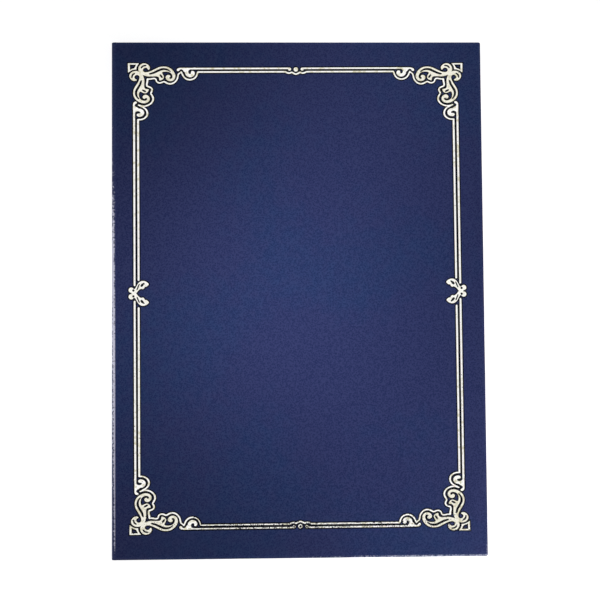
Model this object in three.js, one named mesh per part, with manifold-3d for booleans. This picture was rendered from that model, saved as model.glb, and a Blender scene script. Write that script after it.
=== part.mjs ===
// A certificate holder: a flat folder that opens like a book and holds one upright A4 sheet.
// Two greyboard covers and a narrow spine are wrapped in thin leatherette. Inside, a lining card
// lies in each cover, and four satin ribbons on the back card hold the corners of the sheet.
// The front cover carries a scrolled double border of pressed foil.
//
// The closed folder lies on its back cover. X runs from the spine to the free edge, Y from the
// bottom edge to the top edge, and Z points up. The origin is under the middle of the folder.
import * as THREE from 'three';
import { mergeVertices } from 'three/addons/utils/BufferGeometryUtils.js';
import Module from 'manifold-3d';

const wasm = await Module();
wasm.setup();

// Driving sizes in millimetres
const sheetWidth = 210; // A4
const sheetHeight = 297;
const sheetSlack = 2; // lining card beyond the sheet on every side
const rimWidth = 5; // cover beyond the lining card at its free edge
const endRimWidth = 5.5; // cover beyond the lining card at its top and bottom edges
const cardMargin = 2.9; // board beyond the lining card at its spine edge

const skinThickness = 0.35; // leatherette
const boardThickness = 2;
const liningThickness = 0.6;
const ribbonThickness = 0.25;
const leafRoom = 0.45; // free height over the ribbons in the closed folder

const turnInWidth = 15; // leatherette folded over onto the inner side of a board
const wrapRadius = 0.6; // round of the leatherette over the edge of a board
const cornerEase = 0.4; // radius of a cover's corner beyond the round over its edges
const foldGap = 0.4; // slit in the middle of each fold, where two rigid lengths meet
const stiffenerThickness = 1.2;
const hingeRoom = 0.5; // between the spine's inner face and the end of a board
const hingeFlangeWidth = 15; // inner hinge strip pasted onto the board
const pasteClearance = 0.8; // between sheets pasted side by side on a board
const spineLiningInset = 4; // from the head and tail of the spine

const ribbonWidth = 10;
const ribbonReach = 32; // from the lining card's corner to the middle of the ribbon, along an edge
const ribbonTabLength = 8; // ribbon end pasted under the lining card
const ribbonTabClearance = 0.3;

const foilThickness = 0.1;
const borderInset = { left: 13.85, right: 14.4, top: 16.1, bottom: 18.25 }; // of the outer line
const borderTurn = 0.13; // degrees that the whole border sits askew
// Each corner was stamped a little further in than its lines: [from the side, from the end]
const cornerNudge = {
  top: { left: [0, 0.05], right: [0.05, 0.5] },
  bottom: { left: [0.15, 0.35], right: [0.15, 0.4] },
};
const nudgeFade = { along: [40, 60], across: [24, 31] }; // where that ends, from the corner
const levelLineWidth = 0.95; // the two lines along the top and bottom
const uprightLineWidth = 1.15; // the two lines along the sides
const levelLinePitch = 2.1;
const uprightLinePitch = 2.4;
const endBallRadius = 0.95; // the balls that end the outer lines at the middle of the top
const endBallPlace = 3.85; // from the middle of the top
const ornamentUnit = 1; // millimetres to one unit of the drawn ornaments
const middleDotRadius = 1.35;
const middleDotRise = 0.2; // of the dot over the outer lines' outer edge
const bottomDotEye = 0.45; // the dot and the balls of the bottom are rings, with holes of this radius
const bottomBallEye = 0.3;
const ballLobeGap = 1; // between a ball and the lobe of the inner line round it
const dotLobeGap = 1.05;
const lobeValley = 0.4; // inner line between two lobes, inwards from its straight length
const sideOrnamentRise = 2.15; // of the side ornaments over the middle of the border
const ballLineGap = 0.8; // between a side ornament's ball and the end of the outer line
const armLineGap = { top: 0.05, bottom: 0.9 }; // along the side, between its arm and the inner line

// Fineness of the drawn outlines
const outlineTolerance = 0.06;
const samplesPerPlace = 8;
const capSteps = 4;
const discSteps = 14;
const arcSteps = 4;
const wrapSteps = 3;
const mergeTolerance = 1e-5;
const cutOverrun = 5; // of a cutting solid past the face that it opens

// Sizes that follow
const spineStack = skinThickness + stiffenerThickness + 2 * skinThickness;
const boardInset = spineStack + hingeRoom + skinThickness; // from the spine's face to a board
const cardWidth = sheetWidth + 2 * sheetSlack;
const coverWidth = boardInset + cardMargin + cardWidth + rimWidth;
const coverHeight = sheetHeight + 2 * (sheetSlack + endRimWidth);
const cornerRadius = wrapRadius + cornerEase;
const foldRadius = boardThickness; // the leatherette turns into the spine round a board's thickness
const spineX = -coverWidth / 2;
const freeX = coverWidth / 2;
const headY = coverHeight / 2;
const boardTop = skinThickness + boardThickness;
const turnInTop = boardTop + skinThickness;
const coverStack = turnInTop + liningThickness;
const closedThickness = 2 * coverStack + ribbonThickness + leafRoom;
const spineTop = closedThickness - foldRadius; // upper edge of the spine's stiffener
const boardX = spineX + boardInset;
const hingeStripX = boardX - skinThickness;
const windowHalfHeight = headY - turnInWidth;
const cardLeft = boardX + cardMargin;
const cardRight = cardLeft + cardWidth;
const cardHalfHeight = headY - endRimWidth;
const borderWidth = coverWidth - borderInset.left - borderInset.right;
const borderHeight = coverHeight - borderInset.top - borderInset.bottom;

// Materials
const leatherette = new THREE.MeshStandardMaterial({ color: 0x2c3059, roughness: 0.5, metalness: 0 });
const greyboard = new THREE.MeshStandardMaterial({ color: 0x8f8a80, roughness: 0.95, metalness: 0 });
const liningPaper = new THREE.MeshStandardMaterial({ color: 0xe9e3d3, roughness: 0.6, metalness: 0 });
const ribbonSatin = new THREE.MeshStandardMaterial({ color: 0x2a3168, roughness: 0.35, metalness: 0 });
const foil = new THREE.MeshStandardMaterial({ color: 0xe8e0c8, roughness: 0.3, metalness: 0.85 });

// Closed geometry to a solid that can be joined and cut
function solid(geometry) {
  geometry.deleteAttribute('normal');
  geometry.deleteAttribute('uv');
  const merged = mergeVertices(geometry, mergeTolerance);
  return new wasm.Manifold(new wasm.Mesh({
    numProp: 3,
    vertProperties: new Float32Array(merged.attributes.position.array),
    triVerts: new Uint32Array(merged.index.array),
  }));
}

// A solid's geometry under its node's name
function piece(name, shape, material) {
  const cut = shape.getMesh();
  const geometry = new THREE.BufferGeometry();
  geometry.setAttribute('position', new THREE.BufferAttribute(cut.vertProperties, 3));
  geometry.setIndex(new THREE.BufferAttribute(cut.triVerts, 1));
  geometry.computeVertexNormals();
  const mesh = new THREE.Mesh(geometry, material);
  mesh.name = name;
  return mesh;
}

const joined = (solids) => solids.reduce((whole, next) => whole.add(next));
const without = (whole, cuts) => cuts.reduce((rest, cut) => rest.subtract(cut), whole);

// A block between two opposite corners
function block(low, high) {
  const geometry = new THREE.BoxGeometry(1, 1, 1);
  const corner = geometry.attributes.position;
  for (let i = 0; i < corner.count; i += 1) {
    corner.setXYZ(
      i,
      corner.getX(i) < 0 ? low[0] : high[0],
      corner.getY(i) < 0 ? low[1] : high[1],
      corner.getZ(i) < 0 ? low[2] : high[2],
    );
  }
  return solid(geometry);
}

const shapeOf = (outline) => new THREE.Shape(outline.map(([x, y]) => new THREE.Vector2(x, y)));

// A flat sheet of the given outline between two heights
function sheet(outline, bottom, top) {
  const geometry = new THREE.ExtrudeGeometry(shapeOf(outline), { depth: 1, bevelEnabled: false });
  const corner = geometry.attributes.position;
  for (let i = 0; i < corner.count; i += 1) corner.setZ(i, corner.getZ(i) < 0.5 ? bottom : top);
  return solid(geometry);
}

// A profile drawn in X and Z that runs the whole height of the folder
function alongSpine(profile) {
  const geometry = new THREE.ExtrudeGeometry(shapeOf(profile), { depth: coverHeight, bevelEnabled: false });
  geometry.rotateX(Math.PI / 2);
  geometry.translate(0, headY, 0);
  return solid(geometry);
}

// Points on an arc, with the angles in radians
function arc(centreX, centreY, radius, from, to, steps = arcSteps) {
  return Array.from({ length: steps + 1 }, (_, i) => {
    const angle = from + ((to - from) * i) / steps;
    return [centreX + radius * Math.cos(angle), centreY + radius * Math.sin(angle)];
  });
}

// A cover's plan: square at the spine, rounded at the free edge
function coverPlan(left, right, halfHeight, radius) {
  return [
    [left, -halfHeight],
    ...arc(right - radius, -halfHeight + radius, radius, -Math.PI / 2, 0),
    ...arc(right - radius, halfHeight - radius, radius, 0, Math.PI / 2),
    [left, halfHeight],
  ];
}

// A board fills the inside of the leatherette
const boardPlan = (left) => coverPlan(
  left,
  freeX - skinThickness,
  headY - skinThickness,
  cornerRadius - skinThickness,
);

// The wrapped block of a cover before it is hollowed, with all its long edges rounded.
// It starts left of the spine, so only its free edges keep their round.
function wrappedBlock() {
  const plan = shapeOf(coverPlan(spineX - cutOverrun, freeX, headY, cornerRadius));
  const geometry = new THREE.ExtrudeGeometry(plan, {
    depth: turnInTop - 2 * wrapRadius,
    bevelThickness: wrapRadius,
    bevelSize: wrapRadius,
    bevelOffset: -wrapRadius,
    bevelSegments: wrapSteps,
  });
  geometry.translate(0, 0, wrapRadius);
  return solid(geometry);
}

// Half of a fold's quarter turn, as the outer and inner faces of the leatherette.
// The fold's middle is at the angle of 225 degrees, and the slit there is half in each length.
const foldMiddle = (5 * Math.PI) / 4;
const halfSlit = foldGap / 2 / foldRadius;
const foldCentre = [spineX + foldRadius, foldRadius];
const foldArc = (radius, from, to) => arc(...foldCentre, radius, from, to);

// The leatherette of a cover: outer face, fold towards the spine, wrapped edges and turn-ins
function coverLeatherette() {
  const wrapped = wrappedBlock();
  const tongue = alongSpine([
    ...foldArc(foldRadius, foldMiddle + halfSlit, 1.5 * Math.PI),
    [boardX, 0],
    [boardX, skinThickness],
    ...foldArc(foldRadius - skinThickness, 1.5 * Math.PI, foldMiddle + halfSlit),
  ]);
  const spineSide = block(
    [spineX - 2 * cutOverrun, -coverHeight, -cutOverrun],
    [hingeStripX, coverHeight, closedThickness],
  );
  const window = block(
    [spineX, -windowHalfHeight, boardTop - skinThickness],
    [freeX - turnInWidth, windowHalfHeight, coverStack],
  );
  const cover = without(wrapped, [spineSide, sheet(boardPlan(spineX), skinThickness, boardTop), window]);
  return cover.add(tongue.intersect(wrapped));
}

// The leatherette of the spine: outer face with half of each fold, and turn-ins at head and tail
function spineLeatherette() {
  const flip = ([x, z]) => [x, closedThickness - z];
  const outer = foldArc(foldRadius, foldMiddle - halfSlit, Math.PI);
  const inner = foldArc(foldRadius - skinThickness, foldMiddle - halfSlit, Math.PI);
  const face = alongSpine([
    ...inner,
    ...inner.map(flip).reverse(),
    ...outer.map(flip),
    ...outer.reverse(),
  ]);
  const turnIns = [-1, 1].flatMap((end) => {
    const reach = (from, to) => [Math.min(end * from, end * to), Math.max(end * from, end * to)];
    const wallY = reach(headY - skinThickness, headY);
    const tabY = reach(windowHalfHeight, headY);
    const wallX = spineX + skinThickness + stiffenerThickness;
    return [
      block([spineX, wallY[0], foldRadius], [wallX + skinThickness, wallY[1], spineTop]),
      block([wallX, tabY[0], foldRadius], [wallX + skinThickness, tabY[1], spineTop]),
    ];
  });
  const roundedEnds = sheet(
    [
      ...arc(spineX + wrapRadius, -headY + wrapRadius, wrapRadius, Math.PI, 1.5 * Math.PI),
      [boardX, -headY],
      [boardX, headY],
      ...arc(spineX + wrapRadius, headY - wrapRadius, wrapRadius, Math.PI / 2, Math.PI),
    ],
    0,
    closedThickness,
  );
  return joined([face, ...turnIns]).intersect(roundedEnds);
}

// The leatherette strip that closes the end of a board and laps onto its inner side
function hingeStrip() {
  const flangeHalf = windowHalfHeight - pasteClearance;
  const endHalf = headY - skinThickness;
  return joined([
    block([hingeStripX, -endHalf, skinThickness], [boardX, endHalf, boardTop]),
    block([hingeStripX, -flangeHalf, skinThickness], [boardX, flangeHalf, turnInTop]),
    block([hingeStripX, -flangeHalf, boardTop], [boardX + hingeFlangeWidth, flangeHalf, turnInTop]),
  ]);
}

// The pieces that both covers have, lying outer face down
function coverPieces(side) {
  const fillerLeft = boardX + hingeFlangeWidth + pasteClearance;
  const fillerRight = freeX - turnInWidth - pasteClearance;
  const fillerHalf = windowHalfHeight - pasteClearance;
  return {
    leatherette: piece(`${side}_leatherette`, coverLeatherette(), leatherette),
    board: piece(`${side}_board`, sheet(boardPlan(boardX), skinThickness, boardTop), greyboard),
    hingeStrip: piece(`${side}_hinge_strip`, hingeStrip(), leatherette),
    filler: piece(
      `${side}_filler_sheet`,
      block([fillerLeft, -fillerHalf, boardTop], [fillerRight, fillerHalf, turnInTop]),
      greyboard,
    ),
  };
}

const liningCard = () => block(
  [cardLeft, -cardHalfHeight, turnInTop],
  [cardRight, cardHalfHeight, coverStack],
);

// A ribbon crosses a corner of the lining card and its ends turn under the card.
// Its outlines are drawn inwards from that corner of the card.
const ribbonHalf = ribbonWidth / Math.SQRT2;
const ribbonFrom = ribbonReach - ribbonHalf;
const ribbonTo = ribbonReach + ribbonHalf;

function ribbonTab(start, clearance = 0) {
  const end = ribbonTabLength + clearance;
  return [
    [start, ribbonFrom - clearance],
    [0, ribbonFrom - clearance],
    [end, ribbonFrom - clearance + ribbonTabLength],
    [end, ribbonTo + clearance + ribbonTabLength],
    [0, ribbonTo + clearance],
    [start, ribbonTo + clearance],
  ];
}

const swapped = (outline) => outline.map(([x, y]) => [y, x]);

function atCardCorner(outline, side, end) {
  return outline.map(([x, y]) => [
    side < 0 ? cardLeft + x : cardRight - x,
    end * (cardHalfHeight - y),
  ]);
}

function ribbonRecesses(side, end) {
  const recess = ribbonTab(-cutOverrun, ribbonTabClearance);
  return [recess, swapped(recess)].map((outline) => sheet(
    atCardCorner(outline, side, end),
    turnInTop - cutOverrun,
    turnInTop + ribbonThickness,
  ));
}

function cornerRibbon(side, end) {
  const face = [
    [-ribbonThickness, ribbonFrom],
    [0, ribbonFrom],
    [ribbonFrom, 0],
    [ribbonFrom, -ribbonThickness],
    [ribbonTo, -ribbonThickness],
    [ribbonTo, 0],
    [0, ribbonTo],
    [-ribbonThickness, ribbonTo],
  ];
  const turn = [
    [-ribbonThickness, ribbonFrom],
    [0, ribbonFrom],
    [0, ribbonTo],
    [-ribbonThickness, ribbonTo],
  ];
  const tab = ribbonTab(-ribbonThickness);
  const tabTop = turnInTop + ribbonThickness;
  const faceTop = coverStack + ribbonThickness;
  const layer = (outline, bottom, top) => sheet(atCardCorner(outline, side, end), bottom, top);
  return joined([
    layer(face, coverStack, faceTop),
    layer(turn, turnInTop, faceTop),
    layer(swapped(turn), turnInTop, faceTop),
    layer(tab, turnInTop, tabTop),
    layer(swapped(tab), turnInTop, tabTop),
  ]);
}

// Drawing of the foil, in units of the ornament. A third number is the width of a band there.

// Leaves out the points that a straight line between their neighbours already passes
function thinned(points) {
  if (points.length < 3) return points;
  const [first, last] = [points[0], points[points.length - 1]];
  const chord = [last[0] - first[0], last[1] - first[1]];
  const chordLength = Math.hypot(...chord);
  let worst = 0;
  let at = 0;
  points.forEach(([x, y], i) => {
    const offset = [x - first[0], y - first[1]];
    const away = chordLength > 0
      ? Math.abs(chord[0] * offset[1] - chord[1] * offset[0]) / chordLength
      : Math.hypot(...offset);
    if (away > worst) [worst, at] = [away, i];
  });
  if (worst <= outlineTolerance) return [first, last];
  return [...thinned(points.slice(0, at + 1)).slice(0, -1), ...thinned(points.slice(at))];
}

function thinnedLoop(points) {
  const half = Math.floor(points.length / 2);
  const there = thinned(points.slice(0, half + 1)).slice(0, -1);
  const back = thinned([...points.slice(half), points[0]]).slice(0, -1);
  return [...there, ...back];
}

const splineThrough = (places, closed) => new THREE.CatmullRomCurve3(
  places.map(([x, y, width = 0]) => new THREE.Vector3(x, y, width)),
  closed,
  'centripetal',
);

// A closed outline that runs smoothly through its places
function blob(places) {
  const points = splineThrough(places, true).getPoints(places.length * samplesPerPlace);
  return thinnedLoop(points.slice(0, -1).map(({ x, y }) => [x, y]));
}

// The outline of a band that runs smoothly through its places, with round ends
function band(places) {
  const points = splineThrough(places, false).getPoints(places.length * samplesPerPlace);
  const last = points.length - 1;
  const headings = points.map((_, i) => {
    const from = points[Math.max(i - 1, 0)];
    const to = points[Math.min(i + 1, last)];
    return Math.atan2(to.y - from.y, to.x - from.x);
  });
  const edge = (sign) => points.map(({ x, y, z: width }, i) => [
    x - (sign * Math.sin(headings[i]) * width) / 2,
    y + (sign * Math.cos(headings[i]) * width) / 2,
  ]);
  const cap = (i, from) => arc(points[i].x, points[i].y, points[i].z / 2, from, from - Math.PI, capSteps)
    .slice(1, -1);
  return thinnedLoop([
    ...edge(1),
    ...cap(last, headings[last] + Math.PI / 2),
    ...edge(-1).reverse(),
    ...cap(0, headings[0] - Math.PI / 2),
  ]);
}

const disc = (x, y, radius) => arc(x, y, radius, 0, 2 * Math.PI, discSteps).slice(0, -1);

// One flat piece of foil from outlines that are joined and outlines that are cut out
function foilPiece(name, outlines, cuts = []) {
  const whole = joined(outlines.map((outline) => sheet(outline, 0, foilThickness)));
  const gaps = cuts.map((outline) => sheet(outline, -foilThickness, 2 * foilThickness));
  return piece(name, without(whole, gaps), foil);
}

// The corner ornament is drawn along the top of its corner. A place is [along, inwards] from
// where the two outer lines would cross.
const cornerSquare = {
  outline: [
    [-3.65, -3.45], [3.1, -3.4], [2.1, -2], [1.6, -0.8], [1.5, 0.4], [0, 0.5],
    [-1.7, 1.1], [-3.55, 2.3],
  ],
  cut: [
    [-2.3, -2.4], [1.1, -2.45], [0.65, -1.55], [0.2, -0.8], [-0.2, -0.45], [-1, -0.25],
    [-1.7, 0.05], [-2.25, 0.45],
  ],
};

// A curl that turns outwards, then an arm that swells, turns back and ends in a round blob,
// with a bud on its inner side
const flourishArm = {
  outline: blob([
    [3, 1.5], [2.7, -0.1], [3.1, -1.5], [4.1, -2.7], [5.6, -3.35], [7.3, -3.2], [8.8, -2.3],
    [9.6, -1.1], [9.55, -0.1], [9, 0.65], [8.5, 0.3], [8, -0.35], [7.1, -0.65], [6.1, -0.35],
    [5.5, 0.4], [5.6, 1.3], [6.4, 1.95], [7.6, 2.05], [9.2, 1.75], [11, 1], [13, 0],
    [15, -0.9], [17.2, -1.35], [19.4, -1.3], [21.4, -0.7], [23.2, 0.6], [24.5, 2.3], [25.1, 4.2],
    [24.8, 5.9], [23.8, 7.1], [22.3, 7.6], [20.7, 7.3], [19.6, 6.4], [19.2, 5.2], [19.6, 4.3],
    [20.5, 3.8], [21.3, 3.8], [21.95, 4.3], [22, 5], [21.45, 5.45], [21.7, 6.15], [22.5, 6.15],
    [23.2, 5.5], [23.35, 4.6], [23, 3.5], [22.15, 2.5], [21, 1.95], [19.4, 1.8], [17.8, 1.9],
    [17.1, 2.4], [17.3, 3.1], [17.9, 4.1], [18.15, 5.2], [17.7, 6.2], [16.7, 6.8], [15.55, 7.1],
    [15.3, 6.5], [15.2, 5.7], [14.7, 5], [13.6, 4.65], [12, 4.6], [10, 4.7], [8.2, 4.6],
    [6.8, 4.2], [5.7, 3.9], [4.4, 3.2],
  ]),
  cuts: [
    band([
      [9.4, 3.1, 0.4], [11.8, 2.5, 0.85], [14.8, 1.1, 1], [16.8, 0.3, 0.95], [18.8, 0.2, 0.85],
      [20.7, 0.75, 0.55], [22, 1.7, 0.3],
    ]),
    band([[4.5, -0.7, 0.45], [5.4, -1.65, 0.6], [7.2, -2, 0.45]]),
    band([[16, 3.8, 0.45], [17, 5.2, 0.6]]),
  ],
};

// A small scroll that hangs from the outer line where that starts
const scroll = blob([
  [26, 0.8], [26.3, 0.1], [27.2, -0.4], [28.6, -0.55], [31.3, -0.5], [34.8, -0.45], [37.8, -0.4],
  [37.8, 0.4], [36.2, 0.45], [34.6, 0.45], [33.5, 0.8], [32.95, 1.6], [33.1, 2.7], [33.8, 3.3],
  [34.5, 3.1], [34.6, 2.4], [34.8, 1.7], [35.6, 1.4], [36.6, 1.9], [36.9, 2.9], [36.4, 4.2],
  [35.2, 5.1], [33.7, 5.25], [32.2, 4.7], [31.2, 3.5], [30.9, 2.3], [30.2, 1.7], [29.6, 0.8],
  [28.6, 0.35], [27.8, 0.7], [27.4, 1.3], [26.7, 1.55], [26.15, 1.3],
]);
const scrollLineStart = 34.8; // where the straight outer line has left the scroll

// The inner line follows the ornament. Its bands end where a straight line or another band takes over.
const levelInnerStart = 38.8; // of the straight inner line
const levelInnerBands = [
  [
    [8.3, 6.3, 0.9], [10.3, 6.2, 0.9], [12.4, 5.95, 0.85], [13.3, 6.5, 0.85], [13.7, 7.7, 0.85],
    [15, 8.6, 0.85], [16.6, 8.5, 0.85], [18.2, 7.9, 0.85], [20, 8.8, 0.9], [22, 9.25, 0.9],
    [24.3, 8.5, 0.9], [26.1, 6.5, 0.9], [26.7, 4.2, 0.9], [27.1, 3.2, 0.85], [27.9, 2.7, 0.8],
    [28.6, 2, 0.8],
  ],
  [
    [28.7, 2, 0.8], [29.2, 3.1, 0.85], [29.9, 4.6, 0.9], [31.1, 5.9, 0.9], [32.6, 6.65, 0.9],
    [34.2, 6.8, 0.9], [36, 6.3, 0.9], [37.4, 5.2, 0.9], [38.2, 3.8, 0.9], [38.6, 2.6, 0.9],
    [levelInnerStart, levelLinePitch / ornamentUnit, 0.9],
  ],
];

// The same along the side, with each place as [inwards, along]
const uprightInnerStart = 30.8;
const uprightInnerBands = [
  [
    [8.3, 6.3, 1.1], [8.1, 7.9, 1.1], [7.8, 9.3, 1.05], [8, 10.6, 0.9], [9.3, 11.15, 0.85],
    [10.5, 11.8, 0.9], [11, 12.8, 1.0], [10.7, 13.9, 1.0], [10.2, 15.1, 0.9], [10.9, 16.3, 1.0],
    [11.55, 17.8, 1.05], [11.5, 19.2, 1.05], [10.8, 20.6, 1.0], [9.5, 21.8, 0.9], [7.7, 22.6, 0.9],
    [5.8, 22.9, 0.9], [4.2, 22.7, 0.9], [2.7, 22.2, 0.8],
  ],
  [
    [3.3, 22.5, 0.8], [5.2, 23.4, 0.85], [6.6, 24.3, 0.9], [7.6, 25.6, 1.05], [8.05, 27.1, 1.1],
    [7.8, 28.6, 1.05], [6.9, 29.8, 0.95], [5.5, 30.7, 0.85], [4, 31.1, 0.85],
    [uprightLinePitch / ornamentUnit, 31.2, 0.9],
  ],
];

// Lobes of the inner line round the balls and the dot at the middle of the top. Each place is
// [from the middle, in shares of a ball's place; inwards from the outer line].
const ballDepth = 2 * endBallRadius - levelLineWidth / 2;
const dotDepth = 2 * middleDotRadius - middleDotRise - levelLineWidth / 2;
const ballLobe = ballDepth + ballLobeGap + levelLineWidth / 2;
const dotLobe = dotDepth + dotLobeGap + levelLineWidth / 2;
const valley = levelLinePitch + lobeValley;
const lobes = [
  [0, dotLobe],
  [0.39, (dotLobe + valley) / 2],
  [0.65, valley],
  [1, ballLobe],
  [1.38, (ballLobe + valley) / 2],
  [1.7, levelLinePitch],
  [2, levelLinePitch],
].map(([share, inward]) => [share * endBallPlace, inward, levelLineWidth]);
const lobesStart = 1.8 * endBallPlace;

// One half of a side ornament. A place is [inwards from the outer line, from the mirror line].
const sideArm = [
  [-1.8, -0.55], [-1.6, 1.45], [-0.4, 2.55], [0.35, 3], [0.95, 4.1], [1.75, 5.5], [2.9, 6.8],
  [4.3, 7.45], [5.8, 7.45], [7.2, 6.85], [8.5, 5.55], [7.9, 4.6], [7.05, 4], [6.1, 3.95],
  [5.75, 3.05], [4.95, 2.5], [4, 2.7], [3, 2.3], [2, 1.35], [1.1, 0.25], [0.6, -0.5],
  [-0.2, -1.15],
];
const sideBallRadius = 1.6;
const sideBallPlace = [-2.05, 2];
const sideBallEye = [sideBallPlace[0] + 0.8 * sideBallRadius, sideBallPlace[1] - 0.15 * sideBallRadius];
const sideEyeRadius = 0.5;
const sideOutlines = [blob(sideArm), disc(...sideBallPlace, sideBallRadius)];
const sideCuts = [
  disc(...sideBallEye, sideEyeRadius),
  band([[4.1, 4.55, 0.95], [4.5, 5, 1.1], [5, 5.55, 0.7], [5.6, 6.05, 0.3]]),
  band([[2.75, 5.35, 0.3], [2.1, 3.9, 0.4], [1.5, 2.4, 0.3]]),
];
const sideArmReach = Math.max(...sideArm.map(([, fromMirror]) => fromMirror));
const sideBallReach = sideBallPlace[1] + sideBallRadius;

// The upright arms are the level ones turned over the corner's diagonal and stretched
const uprightFlourish = { alongScale: 0.885, alongShift: -1.1, inwardScale: 1.115, inwardShift: 1.05 };
const uprightScroll = { alongScale: 0.854, alongShift: -2.15, inwardScale: 1.16, inwardShift: 0 };

const enlarged = (outline) => outline.map(([x, y]) => [x * ornamentUnit, y * ornamentUnit]);
const stretched = ({ alongScale, alongShift, inwardScale, inwardShift }) => ([along, inward]) => [
  along * alongScale + alongShift,
  inward * inwardScale + inwardShift,
];

// A corner of the border is at side -1 or 1 and end -1 or 1. Places along and inwards from the
// outer line of the level or upright arm become places on the border.
const nudgeOf = (side, end) => cornerNudge[end > 0 ? 'top' : 'bottom'][side < 0 ? 'left' : 'right'];
const nudgeShare = (along, [full, none]) => THREE.MathUtils.clamp((none - along) / (none - full), 0, 1);

const onLevel = (side, end) => ([along, inward]) => {
  const [fromSide, fromEnd] = nudgeOf(side, end);
  return [
    side * (borderWidth / 2 - along - fromSide * nudgeShare(along, nudgeFade.along)),
    end * (borderHeight / 2 - inward - fromEnd * nudgeShare(along, nudgeFade.across)),
  ];
};
const onUpright = (side, end) => ([along, inward]) => {
  const [fromSide, fromEnd] = nudgeOf(side, end);
  return [
    side * (borderWidth / 2 - inward - fromSide * nudgeShare(along, nudgeFade.across)),
    end * (borderHeight / 2 - along - fromEnd * nudgeShare(along, nudgeFade.along)),
  ];
};

const levelOutline = (side, end) => (outline) => enlarged(outline).map(onLevel(side, end));
const uprightOutline = (side, end, stretch) => (outline) => enlarged(outline.map(stretched(stretch)))
  .map(onUpright(side, end));

// A straight line of the border between two places along it
const bar = (from, to, inward, width) => [
  [from, inward - width / 2],
  [to, inward - width / 2],
  [to, inward + width / 2],
  [from, inward + width / 2],
];

// The middle of the round end of a side's line, at a distance from the ornament's mirror line
const lineEnd = (end, distance) => (
  borderHeight / 2 - end * sideOrnamentRise - distance - uprightLineWidth / 2
);

function cornerSquarePiece(name, side, end) {
  const placed = levelOutline(side, end);
  return foilPiece(name, [placed(cornerSquare.outline)], [placed(cornerSquare.cut)]);
}

function flourishPiece(name, side, end) {
  const arms = [levelOutline(side, end), uprightOutline(side, end, uprightFlourish)];
  return foilPiece(
    name,
    arms.map((placed) => placed(flourishArm.outline)),
    arms.flatMap((placed) => flourishArm.cuts.map(placed)),
  );
}

// The outer line along the top or bottom, from its scroll to its ball near the middle
function levelLinePiece(name, side, end) {
  const ballAlong = borderWidth / 2 - endBallPlace;
  const ballInward = endBallRadius - levelLineWidth / 2;
  const straight = [
    bar(scrollLineStart * ornamentUnit, ballAlong, 0, levelLineWidth),
    disc(ballAlong, ballInward, endBallRadius),
  ];
  const eyes = end < 0 ? [disc(ballAlong, ballInward, bottomBallEye)] : [];
  const placed = (outline) => outline.map(onLevel(side, end));
  return foilPiece(name, [levelOutline(side, end)(scroll), ...straight.map(placed)], eyes.map(placed));
}

// The outer line along a side, from its scroll to the side ornament
function uprightLinePiece(name, side, end) {
  const [start] = stretched(uprightScroll)([scrollLineStart, 0]);
  const stop = lineEnd(end, sideBallReach * ornamentUnit + ballLineGap);
  const straight = [
    bar(start * ornamentUnit, stop, 0, uprightLineWidth),
    disc(stop, 0, uprightLineWidth / 2),
  ];
  return foilPiece(name, [
    uprightOutline(side, end, uprightScroll)(scroll),
    ...straight.map((outline) => outline.map(onUpright(side, end))),
  ]);
}

// The inner line of the upper or lower half, from one side ornament round to the other
function innerLinePiece(name, end) {
  const lineGap = end > 0 ? armLineGap.top : armLineGap.bottom;
  const stop = lineEnd(end, sideArmReach * ornamentUnit + lineGap);
  const lobesAlong = borderWidth / 2 - lobesStart;
  const uprightLine = [
    ...uprightInnerBands.map((places) => enlarged(swapped(band(places)))),
    bar(uprightInnerStart * ornamentUnit, stop, uprightLinePitch, uprightLineWidth),
    disc(stop, uprightLinePitch, uprightLineWidth / 2),
  ];
  const levelLine = [
    ...levelInnerBands.map((places) => enlarged(band(places))),
    bar(levelInnerStart * ornamentUnit, lobesAlong, levelLinePitch, levelLineWidth),
  ];
  const halves = [-1, 1].flatMap((side) => [
    ...uprightLine.map((outline) => outline.map(onUpright(side, end))),
    ...levelLine.map((outline) => outline.map(onLevel(side, end))),
  ]);
  const leftLobes = lobes.slice(1).reverse().map(([across, inward, width]) => [-across, inward, width]);
  const middle = band([...leftLobes, ...lobes]);
  return foilPiece(name, [
    ...halves,
    middle.map(([across, inward]) => [across, end * (borderHeight / 2 - inward)]),
  ]);
}

function sideOrnamentPiece(name, side) {
  const half = (end) => (outline) => enlarged(outline).map(([inward, fromMirror]) => [
    side * (borderWidth / 2 - inward),
    sideOrnamentRise + end * fromMirror,
  ]);
  const halves = [half(1), half(-1)];
  return foilPiece(
    name,
    halves.flatMap((placed) => sideOutlines.map(placed)),
    halves.flatMap((placed) => sideCuts.map(placed)),
  );
}

function foilBorder() {
  const border = new THREE.Group();
  const ends = [['top', 1], ['bottom', -1]];
  const sides = [['left', -1], ['right', 1]];
  ends.forEach(([endName, end]) => {
    sides.forEach(([sideName, side]) => {
      const corner = `${endName}_${sideName}`;
      border.add(
        cornerSquarePiece(`foil_square_${corner}`, side, end),
        flourishPiece(`foil_flourish_${corner}`, side, end),
        levelLinePiece(`foil_level_line_${corner}`, side, end),
        uprightLinePiece(`foil_upright_line_${corner}`, side, end),
      );
    });
    const dotInward = dotDepth - middleDotRadius;
    const dot = (radius) => disc(0, end * (borderHeight / 2 - dotInward), radius);
    border.add(
      innerLinePiece(`foil_inner_line_${endName}`, end),
      foilPiece(`foil_dot_${endName}`, [dot(middleDotRadius)], end < 0 ? [dot(bottomDotEye)] : []),
    );
  });
  sides.forEach(([sideName, side]) => {
    border.add(sideOrnamentPiece(`foil_side_ornament_${sideName}`, side));
  });
  border.rotation.z = THREE.MathUtils.degToRad(borderTurn);
  border.position.set(
    (borderInset.left - borderInset.right) / 2,
    (borderInset.bottom - borderInset.top) / 2,
    closedThickness,
  );
  return border;
}

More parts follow.
